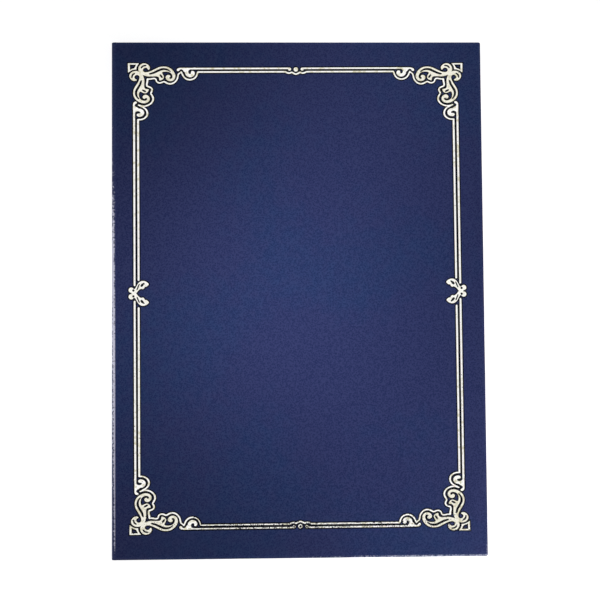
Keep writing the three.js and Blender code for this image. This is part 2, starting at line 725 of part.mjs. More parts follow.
// The back cover lies as it is drawn, with the ribbons on its lining card
function backCover() {
  const cover = new THREE.Group();
  const { leatherette: skin, board, hingeStrip: strip, filler } = coverPieces('back');
  const corners = [
    ['top_left', -1, 1],
    ['top_right', 1, 1],
    ['bottom_left', -1, -1],
    ['bottom_right', 1, -1],
  ];
  const recesses = corners.flatMap(([, side, end]) => ribbonRecesses(side, end));
  const card = piece('back_lining_card', without(liningCard(), recesses), liningPaper);
  cover.add(skin, board, strip, filler, card);
  corners.forEach(([corner, side, end]) => {
    cover.add(piece(`corner_ribbon_${corner}`, cornerRibbon(side, end), ribbonSatin));
  });
  return cover;
}

// The front cover is the same cover turned over, so that its lining faces down
function frontCover() {
  const cover = new THREE.Group();
  const { leatherette: skin, board, hingeStrip: strip, filler } = coverPieces('front');
  cover.add(skin, board, strip, filler, piece('front_lining_card', liningCard(), liningPaper));
  cover.rotation.x = Math.PI;
  cover.position.z = closedThickness;
  return cover;
}

// The spine stands between the two folds
function spine() {
  const group = new THREE.Group();
  const low = foldRadius;
  const high = spineTop;
  const stiffenerX = spineX + skinThickness;
  const liningX = stiffenerX + stiffenerThickness + skinThickness;
  const liningHalf = headY - spineLiningInset;
  const stiffenerHalf = headY - skinThickness;
  const stiffener = block(
    [stiffenerX, -stiffenerHalf, low],
    [stiffenerX + stiffenerThickness, stiffenerHalf, high],
  );
  const lining = block([liningX, -liningHalf, low], [liningX + skinThickness, liningHalf, high]);
  group.add(
    piece('spine_leatherette', spineLeatherette(), leatherette),
    piece('spine_stiffener', stiffener, greyboard),
    piece('spine_lining_strip', lining, leatherette),
  );
  return group;
}

const holder = new THREE.Group();
holder.add(backCover(), spine(), frontCover(), foilBorder());

export default holder;
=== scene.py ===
"""Looks of the certificate holder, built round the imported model.

A closed hard folder: two greyboard covers in navy leatherette, a narrow wrapped spine, ivory
moire lining cards and satin corner ribbons inside, and a scrolled border of hot-stamped foil
on the front. X runs from the spine to the free edge, Y from the bottom edge to the top edge
and Z up, in metres. Sizes below are in millimetres and are scaled when a mesh is made.
"""
import math

import bmesh
import bpy
from mathutils import Euler, Matrix, Vector
from mathutils.bvhtree import BVHTree
from mathutils.geometry import delaunay_2d_cdt, tessellate_polygon


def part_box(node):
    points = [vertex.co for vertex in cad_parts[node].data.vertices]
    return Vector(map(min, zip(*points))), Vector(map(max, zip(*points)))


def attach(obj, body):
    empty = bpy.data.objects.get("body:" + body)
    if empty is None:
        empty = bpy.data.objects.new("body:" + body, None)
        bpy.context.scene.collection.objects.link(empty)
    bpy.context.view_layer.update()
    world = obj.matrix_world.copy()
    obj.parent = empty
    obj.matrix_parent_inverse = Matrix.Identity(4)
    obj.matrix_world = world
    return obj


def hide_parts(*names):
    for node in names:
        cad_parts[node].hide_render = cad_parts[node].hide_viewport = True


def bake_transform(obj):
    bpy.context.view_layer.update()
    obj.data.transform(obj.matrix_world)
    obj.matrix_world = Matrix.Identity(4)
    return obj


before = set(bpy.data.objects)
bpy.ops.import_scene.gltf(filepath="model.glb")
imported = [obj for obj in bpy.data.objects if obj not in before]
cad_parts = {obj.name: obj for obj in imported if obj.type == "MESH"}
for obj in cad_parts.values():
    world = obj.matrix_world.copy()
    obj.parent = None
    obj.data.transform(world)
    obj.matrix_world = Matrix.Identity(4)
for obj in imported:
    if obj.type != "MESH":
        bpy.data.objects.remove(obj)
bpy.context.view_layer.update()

MM = 0.001

# Sizes of the covering, as the part's source gives them
SKIN = 0.35  # thickness of the leatherette
WRAP_ROUND = 0.6  # its outer radius over a board's edge
CORNER_ROUND = 1.0  # radius of a cover's corners on the plan
TURN_IN = 15  # how far in over a board it is turned
FOLD_ROUND = 2  # outer radius of the spine's folds
CLOTH_STRIP = 0.25  # thickness of a ribbon

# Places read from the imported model
free_x, head_y, turn_in_top = (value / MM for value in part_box("back_leatherette")[1])
closed_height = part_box("front_leatherette")[1].z / MM
spine_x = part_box("spine_leatherette")[0].x / MM
fold_start = spine_x + FOLD_ROUND
strip_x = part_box("back_hinge_strip")[0].x / MM
stiffener_back_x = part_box("spine_stiffener")[1].x / MM
card_low, card_high = (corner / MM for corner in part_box("back_lining_card"))

# Hot stamping presses the foil into the leatherette
PRESS_DEPTH = 0.12
PRESS_SLOPE = 0.7  # width of the slope down to the foil
FILM = 0.03  # thickness of the film
FILM_GRIP = 0.01  # how far the film reaches into the leatherette
FILM_INSET = 0.02  # how far its rim stays inside the stamped outline
HOLE_SPREAD = 0.2  # how much further its holes open than they are stamped
WEAK_INSET = 0.18  # how much further in its rim is where the die pressed least


def linear(code):
    """An sRGB hex colour as linear red, green, blue and alpha."""
    channels = [int(code[i:i + 2], 16) / 255 for i in (1, 3, 5)]
    return [c / 12.92 if c <= 0.04045 else ((c + 0.055) / 1.055) ** 2.4 for c in channels] + [1]


def add(tree, kind, inputs=None, **settings):
    """Adds a node with its settings, its input values and the links into it."""
    node = tree.nodes.new("ShaderNode" + kind)
    for name, value in settings.items():
        setattr(node, name, value)
    for name, value in (inputs or {}).items():
        if isinstance(value, bpy.types.NodeSocket):
            tree.links.new(value, node.inputs[name])
        else:
            node.inputs[name].default_value = value
    return node


def new_material(name):
    """A material with an empty node tree and its output node."""
    material = bpy.data.materials.new(name)
    material.use_nodes = True
    tree = material.node_tree
    tree.nodes.clear()
    return material, tree, tree.nodes.new("ShaderNodeOutputMaterial")


def per(size):
    """The scale at which a pattern repeats once in a size in millimetres."""
    return 1 / (size * MM)


def clamped(value):
    """The value, held between 0 and 1."""
    return min(max(value, 0), 1)


def ribs_per(size):
    """The scale at which a wave texture, whose phase turns 20 times as fast, repeats in a size."""
    return per(size) * 2 * math.pi / 20


MIX_A, MIX_B, MIX_RESULT = 6, 7, 2  # sockets of a Mix node that is set to colour

GRAIN_WIDTH = 0.9
GRAIN_HEIGHT = 0.05
CREASE_WIDTH = 0.5
MOTTLE_WIDTH = 7
FADE_WIDTH = 90
DUST_SPACING = 13
DUST_RADIUS = 0.014  # as a share of its spacing
DUST_LEFT_OUT = 0.6
DUST = "#7C84AC"
RUB_AND_HIGHLIGHT_SPECKLE = 1.2
GRAIN_HOLLOW_SHADE = (0.48, 0.56, 0.74, 1)  # how much of the colour shows in the grain's hollows, which are painted darker as shade
GRAIN_TOP_HIGHLIGHT = (1.4, 1.32, 1.15, 1)  # and on its tops, which are painted paler and greyer as a highlight


def leatherette(name, shades, rub_and_highlight_shade, gloss, shine, grain=1.0, carried=False):
    """Coated book cloth with an embossed leather grain.

    The coating is dull and deep in colour. The pebbled grain breaks the light into fine specks,
    and its hollows are painted darker and its tops paler, a painted shade and highlight. Here and
    there lies a speck of dust. Rubbed places are shinier and paler; on the covers' edges and over
    the folds their paleness is partly wear and partly a painted highlight. The embossed pebbles of
    the real cloth are near 0.5 mm; they are drawn 0.9 mm wide, which is as fine as shows in the
    render.
    """
    material, tree, output = new_material(name)
    if carried:
        place = add(tree, "Attribute", attribute_name="rest_place").outputs["Vector"]
    else:
        place = add(tree, "TexCoord").outputs["Object"]
    pebbles = add(tree, "TexVoronoi", {"Vector": place, "Scale": per(GRAIN_WIDTH)})
    creases = add(tree, "TexNoise", {"Vector": place, "Scale": per(CREASE_WIDTH), "Detail": 2.0})
    height = add(tree, "Math", {0: pebbles.outputs["Distance"], 1: creases.outputs["Fac"]},
                 operation="ADD")
    bump = add(tree, "Bump", {"Strength": 0.6 * grain, "Distance": GRAIN_HEIGHT * MM,
                              "Height": height.outputs[0]})
    mottle = add(tree, "TexNoise", {"Vector": place, "Scale": per(MOTTLE_WIDTH), "Detail": 2.0})
    mottle_share = add(tree, "MapRange", {"Value": mottle.outputs["Fac"], "From Min": 0.35,
                                          "From Max": 0.65})
    fade = add(tree, "TexNoise", {"Vector": place, "Scale": per(FADE_WIDTH), "Detail": 1.0})
    fade_share = add(tree, "MapRange", {"Value": fade.outputs["Fac"], "From Min": 0.4,
                                        "From Max": 0.6})
    shade_share = add(tree, "Math", {0: mottle_share.outputs[0], 1: 0.6, 2: fade_share.outputs[0]},
                      operation="MULTIPLY_ADD")
    mottled = add(tree, "Mix", {0: shade_share.outputs[0], MIX_A: linear(shades[0]),
                                MIX_B: linear(shades[1])}, data_type="RGBA")
    # By its height, the grain gets a painted shade in its hollows and a painted highlight on its
    # tops
    raised = add(tree, "MapRange", {"Value": height.outputs[0], "From Min": 0.55, "From Max": 1.2})
    grain_shade_and_highlight = add(tree, "Mix", {0: raised.outputs[0], MIX_A: GRAIN_HOLLOW_SHADE, MIX_B: GRAIN_TOP_HIGHLIGHT},
               data_type="RGBA")
    grained = add(tree, "VectorMath", {0: mottled.outputs[MIX_RESULT], 1: grain_shade_and_highlight.outputs[MIX_RESULT]},
                  operation="MULTIPLY")
    dust = add(tree, "TexVoronoi", {"Vector": place, "Scale": per(DUST_SPACING)})
    dust_near = add(tree, "Math", {0: dust.outputs["Distance"], 1: DUST_RADIUS},
                    operation="LESS_THAN")
    dust_chance = add(tree, "SeparateColor", {"Color": dust.outputs["Color"]})
    dust_kept = add(tree, "Math", {0: dust_chance.outputs["Red"], 1: DUST_LEFT_OUT},
                    operation="GREATER_THAN")
    dusty = add(tree, "Math", {0: dust_near.outputs[0], 1: dust_kept.outputs[0]},
                operation="MULTIPLY")
    specked = add(tree, "Mix", {0: dusty.outputs[0], MIX_A: grained.outputs[0],
                                MIX_B: linear(DUST)}, data_type="RGBA")
    # The paler shade of rubbed places, which on the edges and folds is partly a painted highlight
    wear = add(tree, "Attribute", attribute_name="wear")
    rub = add(tree, "TexNoise", {"Vector": place, "Scale": per(RUB_AND_HIGHLIGHT_SPECKLE), "Detail": 2.0})
    rubbed = add(tree, "Math", {0: wear.outputs["Fac"], 1: rub.outputs["Fac"]}, operation="ADD")
    rub_and_highlight = add(tree, "MapRange", {"Value": rubbed.outputs[0], "From Min": 1.0, "From Max": 1.22})
    colour = add(tree, "Mix", {0: rub_and_highlight.outputs[0], MIX_A: specked.outputs[MIX_RESULT],
                               MIX_B: linear(rub_and_highlight_shade)}, data_type="RGBA")
    roughness = add(tree, "MapRange", {"Value": wear.outputs["Fac"], "To Min": gloss[0],
                                       "To Max": gloss[1]})
    shader = add(tree, "BsdfPrincipled", {
        "Base Color": colour.outputs[MIX_RESULT], "Roughness": roughness.outputs[0],
        "Normal": bump.outputs[0], "IOR": 1.5, "Specular IOR Level": shine})
    tree.links.new(shader.outputs[0], output.inputs["Surface"])
    return material


# The same cloth lies plain; rubbed on the covers' edges and over the folds, where it is also
# painted paler as a highlight; and painted nearly black where it slopes down to the foil, which
# is painted shade in the impression with a little darkening from the hot die
NAVY = ("#2B3B6A", "#313968")
navy_cloth = leatherette("leatherette_embossed_navy", NAVY, "#4A5086", (0.6, 0.5), 0.1)
navy_edge_rub_and_highlight = leatherette("leatherette_rubbed_edge_painted_highlight", NAVY, "#C4C8DE", (0.6, 0.4), 0.2)
navy_fold_rub_and_highlight = leatherette("leatherette_rubbed_fold_painted_highlight", NAVY, "#EAEAFF", (0.6, 0.4), 0.2, 1.3, True)
navy_pressed_shade = leatherette("leatherette_pressed_painted_shade", ("#05060E", "#06060F"), "#05060E",
                           (0.6, 0.6), 0.1, 0.5)


CRINKLE_WIDTH = 0.45
CREAM_WIDTH = 2.2
BREAK_WIDTH = 0.7
BREAK_AT = 0.69  # the strain at which the film breaks


def stamped_foil():
    """Hot-stamping foil, a lacquered film of aluminium pressed on with a heated brass die.

    It mirrors softly in a pale champagne and takes up the grain of the cloth. It is painted
    creamier where it is broad and towards the corners, a painted shade for the pressed-in middles
    of its strokes, with a random tone. It has pinholes and breaks along the tail, where the die
    pressed least, more towards the left but few near the left corner.
    """
    material, tree, output = new_material("foil_hot_stamped_champagne")
    place = add(tree, "TexCoord").outputs["Object"]
    pebbles = add(tree, "TexVoronoi", {"Vector": place, "Scale": per(GRAIN_WIDTH)})
    crinkle = add(tree, "TexNoise", {"Vector": place, "Scale": per(CRINKLE_WIDTH), "Detail": 3.0})
    height = add(tree, "Math", {0: pebbles.outputs["Distance"], 1: crinkle.outputs["Fac"]},
                 operation="ADD")
    bump = add(tree, "Bump", {"Strength": 0.35, "Distance": 0.03 * MM, "Height": height.outputs[0]})
    tone = add(tree, "TexNoise", {"Vector": place, "Scale": per(CREAM_WIDTH), "Detail": 2.0})
    tone_share = add(tree, "MapRange", {"Value": tone.outputs["Fac"], "From Min": 0.5,
                                        "From Max": 0.68})
    axes = add(tree, "SeparateXYZ", {0: place})
    # The painted cream shade is weak half way up the sides, and full towards the corners
    off_middle = add(tree, "Math", {0: axes.outputs["Y"]}, operation="ABSOLUTE")
    unevenness = add(tree, "MapRange", {"Value": off_middle.outputs[0], "From Min": 0.02,
                                        "From Max": 0.09, "To Min": 0.3})
    cream_shade_share = add(tree, "Math", {0: tone_share.outputs[0], 1: unevenness.outputs[0]},
                      operation="MULTIPLY")
    breadth = add(tree, "Attribute", attribute_name="wear")
    breadth_shaded = add(tree, "Mix", {0: breadth.outputs["Fac"], MIX_A: linear("#FFFEFB"),
                               MIX_B: linear("#F4F1E4")}, data_type="RGBA")
    champagne = add(tree, "Mix", {0: cream_shade_share.outputs[0], MIX_A: breadth_shaded.outputs[MIX_RESULT],
                                  MIX_B: linear("#DAD5BA")}, data_type="RGBA")
    # It is weak along the tail, more so towards the left, but less so by the left corner.
    # These places are in metres, as the texture's are.
    low = add(tree, "MapRange", {"Value": axes.outputs["Y"], "From Min": -0.12,
                                 "From Max": -0.14, "To Max": 0.08})
    leftward = add(tree, "MapRange", {"Value": axes.outputs["X"], "From Min": 0.085,
                                      "From Max": 0.04, "To Min": 1.0, "To Max": 2.25})
    off_corner = add(tree, "MapRange", {"Value": axes.outputs["X"], "From Min": -0.065,
                                        "From Max": -0.035, "To Min": 0.4})
    sideways = add(tree, "Math", {0: leftward.outputs[0], 1: off_corner.outputs[0]},
                   operation="MULTIPLY")
    weakness = add(tree, "Math", {0: low.outputs[0], 1: sideways.outputs[0]}, operation="MULTIPLY")
    breaks = add(tree, "TexNoise", {"Vector": place, "Scale": per(BREAK_WIDTH), "Detail": 3.0})
    strain = add(tree, "Math", {0: breaks.outputs["Fac"], 1: weakness.outputs[0]},
                 operation="ADD")
    broken = add(tree, "Math", {0: strain.outputs[0], 1: BREAK_AT}, operation="GREATER_THAN")
    kept = add(tree, "Math", {0: 1.0, 1: broken.outputs[0]}, operation="SUBTRACT")
    colour = add(tree, "Mix", {0: broken.outputs[0], MIX_A: champagne.outputs[MIX_RESULT],
                               MIX_B: linear("#1B1F38")}, data_type="RGBA")
    shader = add(tree, "BsdfPrincipled", {
        "Base Color": colour.outputs[MIX_RESULT], "Metallic": kept.outputs[0], "Roughness": 0.45,
        "Normal": bump.outputs[0]})
    tree.links.new(shader.outputs[0], output.inputs["Surface"])
    return material


FIBRE_WIDTH = 1.5


def binders_board():
    """Raw greyboard, pressed from waste paper: matt grey-brown with fibres and flecks."""
    material, tree, output = new_material("greyboard_pressed_pulp")
    place = add(tree, "TexCoord").outputs["Object"]
    pulp = add(tree, "TexNoise", {"Vector": place, "Scale": per(FIBRE_WIDTH), "Detail": 6.0,
                                  "Roughness": 0.7})
    colour = add(tree, "Mix", {0: pulp.outputs["Fac"], MIX_A: linear("#7E776B"),
                               MIX_B: linear("#A49D90")}, data_type="RGBA")
    bump = add(tree, "Bump", {"Strength": 0.5, "Distance": 0.05 * MM,
                              "Height": pulp.outputs["Fac"]})
    shader = add(tree, "BsdfPrincipled", {
        "Base Color": colour.outputs[MIX_RESULT], "Roughness": 0.95, "Normal": bump.outputs[0]})
    tree.links.new(shader.outputs[0], output.inputs["Surface"])
    return material


RIB_SPACING = 0.8
WATER_WIDTH = 22
WATER_STRETCH = 0.28  # the figure is drawn out along X
WATER_RINGS = 55.0


def moire_cloth():
    """Ivory moire, a ribbed acetate cloth that rollers press into a watered figure.

    Fine ribs run across the card. Where the rollers flattened them they shine more, in long
    wavering bands, which are also painted paler as a painted sheen. The ribs of the real cloth are
    near 0.3 mm; they are drawn at 0.8 mm.
    """
    material, tree, output = new_material("moire_watered_ivory")
    place = add(tree, "TexCoord").outputs["Object"]
    ribs = add(tree, "TexWave", {"Vector": place, "Scale": ribs_per(RIB_SPACING), "Distortion": 0.6,
                                 "Detail": 1.0, "Detail Scale": 2.0}, bands_direction="Y")
    drawn_out = add(tree, "Mapping", {"Vector": place, "Scale": (WATER_STRETCH, 1, 1)})
    water = add(tree, "TexNoise", {"Vector": drawn_out.outputs[0], "Scale": per(WATER_WIDTH),
                                   "Detail": 2.0, "Distortion": 1.2})
    rings = add(tree, "Math", {0: water.outputs["Fac"], 1: WATER_RINGS}, operation="MULTIPLY")
    figure = add(tree, "Math", {0: rings.outputs[0]}, operation="SINE")
    figure_share = add(tree, "MapRange", {"Value": figure.outputs[0], "From Min": -1.0})
    colour = add(tree, "Mix", {0: figure_share.outputs[0], MIX_A: linear("#DDD4BC"),
                               MIX_B: linear("#F1EADB")}, data_type="RGBA")
    roughness = add(tree, "MapRange", {"Value": figure_share.outputs[0], "To Min": 0.62,
                                       "To Max": 0.34})
    bump = add(tree, "Bump", {"Strength": 0.4, "Distance": 0.04 * MM,
                              "Height": ribs.outputs["Fac"]})
    shader = add(tree, "BsdfPrincipled", {
        "Base Color": colour.outputs[MIX_RESULT], "Roughness": roughness.outputs[0],
        "Normal": bump.outputs[0], "Sheen Weight": 0.15})
    tree.links.new(shader.outputs[0], output.inputs["Surface"])
    return material


WEFT_SPACING = 0.5
FLOAT_SPACING = 0.35


def satin_cloth():
    """Navy satin ribbon, woven with long floats that lie side by side.

    The floats make it glossy along the ribbon, with faint cross ribs from the weft. Both are
    near 0.1 mm on a real ribbon; the weft is drawn at 0.5 mm and the floats at 0.35 mm.
    """
    material, tree, output = new_material("satin_woven_navy")
    place = add(tree, "Attribute", attribute_name="weave").outputs["Vector"]
    weft = add(tree, "TexWave", {"Vector": place, "Scale": ribs_per(WEFT_SPACING),
                                 "Distortion": 0.4}, bands_direction="X")
    floats = add(tree, "TexWave", {"Vector": place, "Scale": ribs_per(FLOAT_SPACING)},
                 bands_direction="Y")
    weave = add(tree, "Math", {0: weft.outputs["Fac"], 1: floats.outputs["Fac"]},
                operation="ADD")
    bump = add(tree, "Bump", {"Strength": 0.35, "Distance": 0.03 * MM, "Height": weave.outputs[0]})
    colour = add(tree, "Mix", {0: weft.outputs["Fac"], MIX_A: linear("#1C2358"),
                               MIX_B: linear("#2C3676")}, data_type="RGBA")
    shader = add(tree, "BsdfPrincipled", {
        "Base Color": colour.outputs[MIX_RESULT], "Roughness": 0.36, "Anisotropic": 0.5,
        "Normal": bump.outputs[0], "Sheen Weight": 0.2})
    tree.links.new(shader.outputs[0], output.inputs["Surface"])
    return material


foil_film = stamped_foil()
board_pulp = binders_board()
moire = moire_cloth()
satin = satin_cloth()


def new_piece(name, places, faces, finishes, slots=None, wear=None, sharp=35):
    """A mesh piece from places in millimetres, with merged doubles and outward faces.

    Its edges stay crisp where its faces meet at more than the sharp angle, in degrees.
    """
    mesh = bpy.data.meshes.new(name)
    mesh.from_pydata([[value * MM for value in place] for place in places], [], faces)
    for finish in finishes:
        mesh.materials.append(finish)
    if slots:
        mesh.polygons.foreach_set("material_index", slots)
    if wear:
        mesh.attributes.new("wear", "FLOAT", "POINT").data.foreach_set("value", wear)
    shape = bmesh.new()
    shape.from_mesh(mesh)
    bmesh.ops.remove_doubles(shape, verts=shape.verts, dist=1e-6)
    bmesh.ops.dissolve_degenerate(shape, edges=shape.edges, dist=1e-7)
    bmesh.ops.recalc_face_normals(shape, faces=shape.faces)
    shape.to_mesh(mesh)
    shape.free()
    mesh.shade_smooth()
    mesh.set_sharp_from_angle(angle=math.radians(sharp))
    piece = bpy.data.objects.new(name, mesh)
    bpy.context.scene.collection.objects.link(piece)
    return piece


def grid_faces(rows, columns):
    """Quads between neighbouring rows and columns of a grid of places."""
    return [
        [r * columns + c, r * columns + c + 1, (r + 1) * columns + c + 1, (r + 1) * columns + c]
        for r in range(rows - 1) for c in range(columns - 1)
    ]


def quarter(steps, start=0):
    """Angles over a quarter turn, from a step on."""
    return [math.pi / 2 * i / steps for i in range(start, steps + 1)]


def steps_between(low, high, count):
    """Evenly spaced values from low to high, both among them."""
    return [low + (high - low) * i / count for i in range(count + 1)]


# Outlines of the foil

STRAIGHT_RUN = 2.5  # longer stretches of an outline are straight
SHORT_RUN = 0.25  # and shorter ones need no points between
CURVE_STEPS = 3
SHARP_TURN = math.radians(40)
MITRE_LIMIT = 1.4  # a sharp corner moves no further than this many widths


def foil_outlines(node):
    """The closed outlines of a foil node's top, in millimetres, with the foil on their left."""
    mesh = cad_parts[node].data
    top = max(v.co.z for v in mesh.vertices)
    places = [(round(v.co.x / MM, 4), round(v.co.y / MM, 4)) for v in mesh.vertices]
    edges = set()
    for face in mesh.polygons:
        if all(top - mesh.vertices[i].co.z < 1e-6 for i in face.vertices):
            corners = [places[i] for i in face.vertices]
            for start, end in zip(corners, corners[1:] + corners[:1]):
                if (end, start) in edges:
                    edges.remove((end, start))
                else:
                    edges.add((start, end))
    follows = {}
    for start, end in sorted(edges):
        follows.setdefault(start, []).append(end)
    outlines = []
    while follows:
        start = min(follows)
        outline = [start]
        here = start
        while True:
            ahead = follows[here].pop()
            if not follows[here]:
                del follows[here]
            if ahead == start:
                break
            outline.append(ahead)
            here = ahead
        outlines.append([Vector(place) for place in outline])
    return outlines


def headings(outline):
    """The direction of the outline at each point, or None at a sharp corner."""
    found = []
    for i, place in enumerate(outline):
        back = place - outline[i - 1]
        on = outline[(i + 1) % len(outline)] - place
        if back.angle(on, 0) > SHARP_TURN:
            found.append(None)
        elif back.length > STRAIGHT_RUN or on.length > STRAIGHT_RUN:
            found.append((back if back.length > on.length else on).normalized())
        else:
            blend = back.normalized() * on.length + on.normalized() * back.length
            found.append(blend.normalized())
    return found


def softened(outline):
    """The outline with points added on a smooth curve between its own."""
    along = headings(outline)
    smooth = []
    for i, start in enumerate(outline):
        end = outline[(i + 1) % len(outline)]
        chord = end - start
        leave = (along[i] or chord.normalized()) * chord.length
        reach = (along[(i + 1) % len(outline)] or chord.normalized()) * chord.length
        count = CURVE_STEPS if SHORT_RUN <= chord.length <= STRAIGHT_RUN else 1
        for step in range(count):
            t = step / count
            smooth.append(
                start * (2 * t ** 3 - 3 * t ** 2 + 1) + leave * (t ** 3 - 2 * t ** 2 + t)
                + end * (3 * t ** 2 - 2 * t ** 3) + reach * (t ** 3 - t ** 2)
            )
    return smooth


def grown(outline, width):
    """The outline moved outwards, to its right."""
    moved = []
    for i, place in enumerate(outline):
        back = (place - outline[i - 1]).normalized()
        on = (outline[(i + 1) % len(outline)] - place).normalized()
        across = (back + on).normalized() if (back + on).length > 0.1 else on
        spread = min(1 / max(across.dot(on), 0.1), MITRE_LIMIT)
        moved.append(place + Vector((across.y, -across.x)) * width * spread)
    return moved


foil_nodes = sorted(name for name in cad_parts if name.startswith("foil_"))
outlines = {node: foil_outlines(node) for node in foil_nodes}
soft_outlines = {node: [softened(outline) for outline in outlines[node]] for node in foil_nodes}


def filled(loops):
    """Places and flat triangles that fill closed outlines."""
    loops = [[place.to_3d() for place in loop] for loop in loops]
    places = [place for loop in loops for place in loop]
    return places, [list(face) for face in tessellate_polygon(loops)]


plate_places = []
plate_faces = []
for node in foil_nodes:
    first = len(plate_places)
    flat, faces = filled(soft_outlines[node])
    plate_places += flat
    plate_faces += [[first + i for i in face] for face in faces]
foil_area = BVHTree.FromPolygons(plate_places, plate_faces)


def from_foil(x, y):
    """Distance from a place on the cover to the nearest foil."""
    return foil_area.find_nearest(Vector((x, y, 0)))[3]


# The film lies at the bottom of its impression
film_top = closed_height - PRESS_DEPTH + FILM
film_bottom = closed_height - PRESS_DEPTH - FILM_GRIP
BREADTH = {"flourish": 1, "side": 0.3, "square": 0.5}  # how broad each kind of ornament is, which sets its painted cream shade


TAIL_LINES_Y = -130  # the lines along the tail lie below this
TAIL_LINES_HALF = 64  # and reach this far to either side
WEAK_FROM = 20
WEAK_OVER = 65


def thinness(place):
    """How far a weak press narrows the film: only in the tail's lines, most at their left."""
    if place.y > TAIL_LINES_Y or abs(place.x) > TAIL_LINES_HALF:
        return 0
    return clamped((WEAK_FROM - place.x) / WEAK_OVER)


def drawn_in(outline):
    """The outline drawn in a little from its rim, or opened wider where it is a hole."""
    twice_area = sum(outline[i - 1].cross(place) for i, place in enumerate(outline))
    if twice_area < 0:
        return grown(outline, -HOLE_SPREAD)
    full = grown(outline, -FILM_INSET)
    thin = grown(outline, -FILM_INSET - WEAK_INSET)
    return [a.lerp(b, thinness(place)) for a, b, place in zip(full, thin, outline)]


for node in foil_nodes:
    loops = [drawn_in(loop) for loop in soft_outlines[node]]
    flat, faces = filled(loops)
    count = len(flat)
    places = [(p.x, p.y, film_top) for p in flat] + [(p.x, p.y, film_bottom) for p in flat]
    sides = []
    first = 0
    for loop in loops:
        for i in range(len(loop)):
            a, b = first + i, first + (i + 1) % len(loop)
            sides.append([a, b, b + count, a + count])
        first += len(loop)
    under = [[i + count for i in reversed(face)] for face in faces]
    breadth = [BREADTH.get(node.split("_")[1], 0)] * len(places)
    film = new_piece(node + "_film", places, faces + under + sides, [foil_film], None, breadth)
    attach(film, "front_cover")
    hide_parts(node)


# Leatherette of the covers

CORNER_STEPS = 5
SHORT_EDGE_STEPS = 16
LONG_EDGE_STEPS = 24


def edge_columns():
    """Columns round a cover's three free edges: the run, the place on it, and if it laps over."""
    ends = free_x - CORNER_ROUND
    sides = head_y - CORNER_ROUND
    half = math.pi / 4
    turn = steps_between(0, half, CORNER_STEPS)
    columns = [("head", x, 0) for x in steps_between(strip_x, ends, SHORT_EDGE_STEPS)]
    columns += [("head_corner", math.pi / 2 - a, 0) for a in turn[1:]]
    columns += [("head_corner", half - a, 1) for a in turn]
    columns += [("fore", y, 1) for y in steps_between(sides, -sides, LONG_EDGE_STEPS)]
    columns += [("tail_corner", -a, 1) for a in turn[1:]]
    columns += [("tail_corner", -half - a, 0) for a in turn]
    columns += [("tail", x, 0) for x in steps_between(ends, strip_x, SHORT_EDGE_STEPS)]
    return columns


def on_plan(column, inset):
    """Where a column stands on the plan, at a distance in from the cover's edge."""
    run, value, _ = column
    right, head = free_x - inset, head_y - inset
    if run == "head":
        return min(value, right), head
    if run == "tail":
        return min(value, right), -head
    if run == "fore":
        return right, max(-head, min(value, head))
    round_left = max(CORNER_ROUND - inset, 0)
    middle = max(CORNER_ROUND, inset)
    up = 1 if run == "head_corner" else -1
    return (free_x - middle + round_left * math.cos(value),
            up * (head_y - middle) + round_left * math.sin(value))


TAIL_STRIP = 2  # how far in from the tail its own rub and painted highlight reach
FORE_STRIP = 0.5  # the outermost strip of the fore edge, which has less rub and painted highlight
RUB_AND_HIGHLIGHT_FROM = -20  # where the tail's rub and painted highlight begin to grow
RUB_AND_HIGHLIGHT_OVER = 72  # and over what distance they grow


def rub_and_highlight_at(x, y):
    """How much an edge is rubbed and painted with a pale highlight at a place: most along the tail,
    towards the free corner.
    """
    if y < TAIL_STRIP - head_y and x < free_x - FORE_STRIP:
        return 0.3 + 0.38 * clamped((x - RUB_AND_HIGHLIGHT_FROM) / RUB_AND_HIGHLIGHT_OVER)
    return 0.2 + 0.15 * clamped(-y / head_y)


FACE_START = 1.6  # in from the edge, where the plain outer face begins
RUB_AND_HIGHLIGHT_START = 1.1  # in from the edge, where the rub and painted highlight are nearly full
LAP = 0.1  # the fore-edge turn-in lies over the others at the mitre
CUT_SLOPE = (0.12, 0.1)  # how far in and down the cloth's cut edge slopes
FLAT_NEAR, FLAT_FAR = 1.4, 5  # in from the edge, where the flat turn-in has its rows
CLOTH_SLOT, PRESSED_SHADE_SLOT, EDGE_SLOT = 0, 1, 2


def wrap_profile():
    """The leatherette's section over an edge, from the outer face round to the turn-in and back.

    Each row is the distance in from the edge, the height, the rub with its painted highlight and
    the share of the lap.
    """
    top = turn_in_top
    low, high = WRAP_ROUND, top - WRAP_ROUND
    inner = WRAP_ROUND - SKIN
    rows = [(FACE_START, 0, 0, 0), (RUB_AND_HIGHLIGHT_START, 0, 0.78, 0)]
    rows += [(low - low * math.sin(a), low - low * math.cos(a), 1 - 0.6 * math.sin(a), 0)
             for a in quarter(6)]
    rows += [(low - low * math.cos(a), high + low * math.sin(a), 0.4 * math.cos(a), math.sin(a))
             for a in quarter(6)]
    rows += [(FLAT_NEAR, top, 0, 1), (FLAT_FAR, top, 0, 1), (TURN_IN - CUT_SLOPE[0], top, 0, 1)]
    rows += [(TURN_IN, top - CUT_SLOPE[1], 0, 1), (TURN_IN, top - SKIN, 0, 1)]
    rows += [(FLAT_FAR, top - SKIN, 0, 1)]
    rows += [(low - inner * math.sin(a), high + inner * math.cos(a), 0, math.cos(a))
             for a in quarter(3)]
    rows += [(low - inner * math.cos(a), low - inner * math.sin(a), 0, 0) for a in quarter(3)]
    rows += [(FACE_START, SKIN, 0, 0)]
    return rows


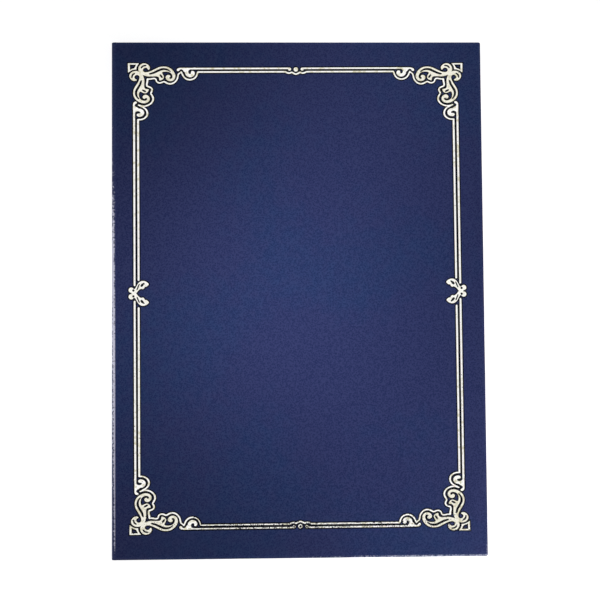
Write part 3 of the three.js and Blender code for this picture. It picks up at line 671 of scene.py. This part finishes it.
def cover_skin(side):
    """The leatherette of one cover, with its edges wrapped and its corners mitred."""
    front = side == "front"
    columns = edge_columns()
    profile = wrap_profile()
    places = []
    wear = []
    for inset, height, rub_and_highlight, lap_share in profile:
        for column in columns:
            x, y = on_plan(column, inset)
            z = height + LAP * lap_share * column[2]
            if front:
                y, z = -y, closed_height - z
            places.append((x, y, z))
            wear.append(rub_and_highlight * rub_and_highlight_at(x, y))
    width = len(columns)
    faces = grid_faces(len(profile), width)
    last_row = (len(profile) - 1) * width
    faces.append([row * width for row in range(len(profile))])
    faces.append([row * width + width - 1 for row in range(len(profile))])
    faces.append([0, width - 1, last_row + width - 1, last_row])
    faces.append([last_row + c for c in range(width)])
    slots = []
    # Rows with much rub and painted highlight take the rubbed edge's paler finish
    for row, below in zip(profile, profile[1:]):
        rubbed = max(row[2], below[2]) > 0.3
        slots += [EDGE_SLOT if rubbed else CLOTH_SLOT] * (width - 1)
    slots += [CLOTH_SLOT] * (len(faces) - len(slots))
    finishes = [navy_cloth, navy_pressed_shade, navy_edge_rub_and_highlight]
    if not front:
        faces.append(list(range(width)))
        slots.append(CLOTH_SLOT)
        return new_piece("back_cover_leatherette", places, faces, finishes, slots, wear)

    # The outer face with the foil's impressions in it
    lines = [[Vector(places[c][:2]) for c in range(width)]]
    for node in foil_nodes:
        lines += soft_outlines[node]
        lines += [grown(outline, PRESS_SLOPE) for outline in outlines[node]]
    points = []
    edges = []
    for line in lines:
        first = len(points)
        points += line
        edges += [(first + i, first + (i + 1) % len(line)) for i in range(len(line))]
    face_points, _, face_triangles, _, _, _ = delaunay_2d_cdt(points, edges, [], 0, 1e-5)
    first = len(places)
    for point in face_points:
        rise = min(from_foil(point.x, point.y) / PRESS_SLOPE, 1)
        places.append((point.x, point.y, closed_height - PRESS_DEPTH * (1 - rise)))
        wear.append(0)
    for triangle in face_triangles:
        middle = sum((face_points[i] for i in triangle), Vector((0, 0))) / 3
        faces.append([first + i for i in triangle])
        # The slope round the foil takes the nearly black finish, a painted shade
        near = from_foil(middle.x, middle.y) < 0.98 * PRESS_SLOPE
        slots.append(PRESSED_SHADE_SLOT if near else CLOTH_SLOT)
    return new_piece("front_cover_leatherette", places, faces, finishes, slots, wear, 6)


for side in ("back", "front"):
    skin = cover_skin(side)
    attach(skin, f"{side}_cover")
    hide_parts(f"{side}_leatherette")


# Leatherette of the spine and of the two folds

FOLD_STEPS = 40


def wrapped_outline(depth, rounding):
    """The section of a strip whose ends turn in over the head and tail, as [along, depth]."""
    half = head_y
    tab = half - TURN_IN
    inner = max(rounding - SKIN, 0)
    outer = [(half - rounding + rounding * math.sin(a), rounding - rounding * math.cos(a))
             for a in quarter(6)]
    outer += [(half - rounding + rounding * math.cos(a), depth - rounding + rounding * math.sin(a))
              for a in quarter(6)]
    outer += [(tab, depth), (tab, depth - SKIN)]
    if depth > 2 * SKIN:
        outer += [(half - rounding + inner * math.sin(a), depth - rounding + inner * math.cos(a))
                  for a in quarter(3)]
        outer += [(half - rounding + inner * math.cos(a), rounding - inner * math.sin(a))
                  for a in quarter(3)]
    mirrored = [(-along, deep) for along, deep in reversed(outer)]
    straight = [(along, 0) for along in steps_between(rounding - half, half - rounding, FOLD_STEPS)]
    loop = []
    for place in outer + mirrored + straight[1:-1]:
        if not loop or math.dist(place, loop[-1]) > 1e-4:
            loop.append(place)
    return loop


# How much the fold is rubbed and painted with a near-white highlight: places along it, and the
# amount on its top, its shoulder and its side
FOLD_RUB_AND_HIGHLIGHT = [(-155, 0.3, 0.2, 0.3), (-153, 0.66, 0.35, 0.38), (-112, 0.86, 0.48, 0.44),
        (-75, 0.9, 0.68, 0.55), (-20, 0.72, 0.87, 0.62), (16, 0.55, 0.88, 0.88),
        (52, 0.53, 0.65, 0.6), (90, 0.3, 0.3, 0.45), (110, 0.2, 0.2, 0.3), (156, 0, 0, 0)]


TOP_TO, SHOULDER_AT, SIDE_FROM = 0.12, 0.4, 0.75  # shares of the fold's turn


def rub_and_highlight_on_fold(along, turn):
    """How much the fold is rubbed and painted with a highlight at a place along it and a share of
    its turn downwards.
    """
    if turn < -0.1:
        return 0
    for low, high in zip(FOLD_RUB_AND_HIGHLIGHT, FOLD_RUB_AND_HIGHLIGHT[1:]):
        if along < high[0]:
            share = max(along - low[0], 0) / (high[0] - low[0])
            top, shoulder, side = (low[i] + (high[i] - low[i]) * share for i in (1, 2, 3))
            if turn < SHOULDER_AT:
                return top + (shoulder - top) * clamped((turn - TOP_TO) / (SHOULDER_AT - TOP_TO))
            down = (turn - SHOULDER_AT) / (SIDE_FROM - SHOULDER_AT)
            return shoulder + (side - shoulder) * clamped(down)
    return 0


def strip_along(name, outline, path, rub_and_highlight):
    """Carries a wrapped outline along a path of [x, z, and the direction of its depth]."""
    places = []
    wear = []
    for x, z, deep_x, deep_z in path:
        for along, deep in outline:
            places.append((x + deep * deep_x, along, z + deep * deep_z))
            outer = deep < SKIN / 2
            wear.append(rub_and_highlight * rub_and_highlight_on_fold(along, (fold_start - x) / FOLD_ROUND) if outer else 0)
    count = len(outline)
    faces = []
    for row in range(len(path) - 1):
        for i in range(count):
            a, b = row * count + i, row * count + (i + 1) % count
            faces.append([a, b, b + count, a + count])
    last = (len(path) - 1) * count
    faces += [list(range(count)), [last + i for i in range(count)]]
    piece = new_piece(name, places, faces, [navy_fold_rub_and_highlight], None, wear)
    rest = [value for vertex in piece.data.vertices for value in vertex.co]
    place = piece.data.attributes.new("rest_place", "FLOAT_VECTOR", "POINT")
    place.data.foreach_set("vector", rest)
    return piece


FOLD_LAYERS = wrapped_outline(2 * SKIN, SKIN)
LAST_FLAT = (0.3, 0.12)  # the last flat rows before a fold, between which the rub and painted highlight begin

low_fold = [(strip_x, 0, 0, 1)]
low_fold += [(fold_start + before, 0, 0, 1) for before in LAST_FLAT]
low_fold += [(fold_start - FOLD_ROUND * math.sin(a), FOLD_ROUND - FOLD_ROUND * math.cos(a),
              math.sin(a), math.cos(a)) for a in quarter(10)]
high_fold = [(x, closed_height - z, deep_x, -deep_z) for x, z, deep_x, deep_z in low_fold]

# How much of the fold's rub and painted highlight each strip takes
back_fold = strip_along("back_fold_leatherette", FOLD_LAYERS, low_fold, 0.6)
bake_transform(back_fold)
front_fold = strip_along("front_fold_leatherette", FOLD_LAYERS, high_fold, 1)
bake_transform(front_fold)

spine_path = [(spine_x, z, 1, 0) for z in steps_between(FOLD_ROUND, closed_height - FOLD_ROUND, 3)]
spine_depth = stiffener_back_x - spine_x + SKIN
spine_skin = strip_along("spine_wrap_leatherette", wrapped_outline(spine_depth, WRAP_ROUND),
                         spine_path, 0.5)
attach(spine_skin, "spine")
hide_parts("spine_leatherette")


# Satin corner ribbons

RIBBON_WIDTH = 10
RIBBON_REACH = 32  # from the card's corner to where the ribbon's middle crosses its edge
TAB_LENGTH = 8
SELVEDGE = 0.5
PLAIN_THICK = 0.17  # thickness between the raised selvedges
PLAIN_HALF = 3.6  # how far its plain rows reach to either side of its middle
BOW = 0.1  # how far the ribbon rises off the card in its middle


def ribbon_piece(corner, side, end):
    """A satin ribbon across a corner of the back lining card, with its ends turned under."""
    card_top = card_high.z
    tab_low = card_low.z
    turn_round = (card_top - tab_low - CLOTH_STRIP) / 2
    turn_middle = tab_low + CLOTH_STRIP + turn_round
    selvedge = [-RIBBON_WIDTH / 2, -RIBBON_WIDTH / 2 + SELVEDGE]
    offsets = selvedge + steps_between(-PLAIN_HALF, PLAIN_HALF, 6)
    offsets += [-offset for offset in reversed(selvedge)]

    def line(offset, thick):
        """Places along the ribbon at an offset from its middle and a height over the card."""
        cross = RIBBON_REACH + offset * math.sqrt(2)
        under = turn_round + thick
        places = [(TAB_LENGTH, cross + TAB_LENGTH, turn_middle - under),
                  (turn_round, cross + turn_round, turn_middle - under)]
        places += [(turn_round - under * math.cos(a), cross, turn_middle + under * math.sin(a))
                   for a in steps_between(-math.pi / 2, math.pi / 2, 8)[1:]]
        other = [(y, x, z) for x, y, z in reversed(places)]
        over = []
        for share in steps_between(0, 1, 12)[1:-1]:
            lift = BOW * math.sin(math.pi * share)
            over.append((turn_round + (cross - 2 * turn_round) * share,
                         cross - turn_round - (cross - 2 * turn_round) * share,
                         turn_middle + under + lift))
        return places + over + other

    rows = []
    for offset in offsets:
        thick = CLOTH_STRIP if abs(offset) > RIBBON_WIDTH / 2 - SELVEDGE else PLAIN_THICK
        rows.append(line(offset, thick))
    for offset in reversed(offsets):
        rows.append(line(offset, 0))
    length = len(rows[0])
    faces = grid_faces(len(rows), length)
    last = (len(rows) - 1) * length
    faces += [[last + c, last + c + 1, c + 1, c] for c in range(length - 1)]
    faces += [[row * length for row in range(len(rows))],
              [row * length + length - 1 for row in range(len(rows))]]
    places = []
    for row in rows:
        for x, y, z in row:
            card_x = card_low.x + x if side < 0 else card_high.x - x
            places.append((card_x, end * (card_high.y - y), z))
    ribbon = new_piece(f"ribbon_{corner}", places, faces, [satin])
    weave = []
    for vertex in ribbon.data.vertices:
        x, y = vertex.co.x * side, vertex.co.y * end
        weave += [(x - y) / math.sqrt(2), (x + y) / math.sqrt(2), 0]
    pattern = ribbon.data.attributes.new("weave", "FLOAT_VECTOR", "POINT")
    pattern.data.foreach_set("vector", weave)
    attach(ribbon, "back_cover")
    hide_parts(f"corner_ribbon_{corner}")


for end_name, end in (("top", 1), ("bottom", -1)):
    for side_name, side in (("left", -1), ("right", 1)):
        ribbon_piece(f"{end_name}_{side_name}", side, end)


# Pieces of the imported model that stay, with eased edges and their own finishes

def finish_node(node, finish, ease):
    """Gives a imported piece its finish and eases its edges."""
    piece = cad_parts[node]
    piece.data.materials.clear()
    piece.data.materials.append(finish)
    weld = piece.modifiers.new("weld", "WELD")
    weld.merge_threshold = 1e-6
    bevel = piece.modifiers.new("ease", "BEVEL")
    bevel.width = ease * MM
    bevel.segments = 3
    bevel.limit_method = "ANGLE"
    bevel.angle_limit = math.radians(40)


for side in ("back", "front"):
    finish_node(f"{side}_lining_card", moire, 0.2)
    finish_node(f"{side}_hinge_strip", navy_cloth, 0.14)
    finish_node(f"{side}_board", board_pulp, 0.1)
    finish_node(f"{side}_filler_sheet", board_pulp, 0.05)
finish_node("spine_lining_strip", navy_cloth, 0.12)
finish_node("spine_stiffener", board_pulp, 0.1)
# The stiffener's long edges show in the open folds. A real lining is turned down over them,
# and here the cloth's colour stands for that.
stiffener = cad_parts["spine_stiffener"].data
stiffener.materials.append(navy_cloth)
for face in stiffener.polygons:
    face.material_index = 1 if abs(face.normal.z) > 0.7 else 0


# Floor, light and camera

def in_sight(tree):
    """1 for what is seen, straight, in a mirror or through glass, and 0 for what only lights."""
    ray = add(tree, "LightPath")
    mirrored = add(tree, "Math", {0: ray.outputs["Is Camera Ray"], 1: ray.outputs["Is Glossy Ray"]},
                   operation="MAXIMUM")
    return add(tree, "Math", {0: mirrored.outputs[0], 1: ray.outputs["Is Transmission Ray"]},
               operation="MAXIMUM").outputs[0]


def studio_floor():
    """A plain pale surface under the holder, which the camera sees as white."""
    mesh = bpy.data.meshes.new("floor")
    half = 3
    mesh.from_pydata([(-half, -half, 0), (half, -half, 0), (half, half, 0), (-half, half, 0)], [],
                     [(0, 1, 2, 3)])
    floor = bpy.data.objects.new("floor", mesh)
    floor.location.z = -0.0001  # just under the holder, so that the two faces don't coincide
    bpy.context.scene.collection.objects.link(floor)
    material, tree, output = new_material("floor_paper_white")
    paper = add(tree, "BsdfDiffuse", {"Color": linear("#E4E4E4")})
    glow = add(tree, "Emission", {"Color": (1, 1, 1, 1), "Strength": 0.84})
    dark = add(tree, "Emission", {"Strength": 0.0})
    shown = add(tree, "MixShader", {0: in_sight(tree), 1: dark.outputs[0], 2: glow.outputs[0]})
    both = add(tree, "AddShader", {0: paper.outputs[0], 1: shown.outputs[0]})
    tree.links.new(both.outputs[0], output.inputs["Surface"])
    mesh.materials.append(material)


def studio_world():
    """Even dim light from all round, which the camera and mirrors see as white."""
    world = bpy.data.worlds.new("studio")
    bpy.context.scene.world = world
    world.use_nodes = True
    tree = world.node_tree
    tree.nodes.clear()
    output = tree.nodes.new("ShaderNodeOutputWorld")
    fill = add(tree, "Background", {"Color": (1, 1, 1, 1), "Strength": 0.15})
    white = add(tree, "Background", {"Color": (1, 1, 1, 1), "Strength": 0.97})
    shown = add(tree, "MixShader", {0: in_sight(tree), 1: fill.outputs[0],
                                    2: white.outputs[0]})
    tree.links.new(shown.outputs[0], output.inputs["Surface"])


def soft_lamp(name, place, aim, size, power, spread=180):
    """A softbox that points at a place. Its spread is how wide its cloth grid lets light out.

    No surface mirrors it, so that the foil keeps the even tone that it has in the photograph.
    """
    lamp = bpy.data.lights.new(name, "AREA")
    lamp.shape = "RECTANGLE"
    lamp.size, lamp.size_y = size
    lamp.energy = power
    lamp.spread = math.radians(spread)
    holder = bpy.data.objects.new(name, lamp)
    holder.location = place
    holder.rotation_mode = "QUATERNION"
    holder.rotation_quaternion = (Vector(aim) - Vector(place)).to_track_quat("-Z", "Y")
    holder.visible_camera = False
    holder.visible_glossy = False
    bpy.context.scene.collection.objects.link(holder)


CAMERA_TURN = (-3.392, 1.844, 0.344)  # of the cover before the camera, in degrees
COVER_PLACE = (-0.84, 1.55, -855.01)  # of the cover's middle before the camera


def photo_camera():
    """The camera as the photograph's, from the four corners of the cover in it."""
    lens = bpy.data.cameras.new("camera")
    lens.sensor_width = 36
    lens.lens = 85
    camera = bpy.data.objects.new("camera", lens)
    turn = Euler([math.radians(angle) for angle in CAMERA_TURN], "XYZ").to_matrix().to_4x4()
    shift = Matrix.Translation(Vector(COVER_PLACE) * MM)
    cover_face = Matrix.Translation((0, 0, -closed_height * MM))
    camera.matrix_world = (shift @ turn @ cover_face).inverted()
    bpy.context.scene.collection.objects.link(camera)
    bpy.context.scene.camera = camera


studio_floor()
studio_world()
# Each lamp's place, aim and size in metres, its power in watts and its spread in degrees
soft_lamp("overhead_lamp", (-0.02, 0, 0.47), (-0.02, 0, 0), (0.14, 0.14), 0.05, 31)
soft_lamp("head_lamp", (0.05, 0.13, 0.41), (0.05, 0.13, 0), (0.14, 0.14), 0.019, 28)
soft_lamp("right_lamp", (0.2, -0.17, 0.2), (0.1, -0.085, 0), (0.2, 0.2), 0.25)
soft_lamp("left_lamp", (-0.32, 0, 0.5), (-0.32, 0, 0), (0.12, 0.3), 0.12, 36)
soft_lamp("fold_lamp", (-0.72, -0.06, 0.085), (-0.11, -0.06, 0), (0.2, 0.1), 0.05, 36)
soft_lamp("fold_strip_lamp", (-0.57, -0.03, 0.62), (-0.11, -0.04, 0), (0.37, 0.1), 0.45)
soft_lamp("edge_lamp", (0.13, -0.75, 0.25), (0.09, -0.155, 0), (0.12, 0.08), 0.04, 24)
photo_camera()
bpy.context.scene.view_settings.view_transform = "Standard"
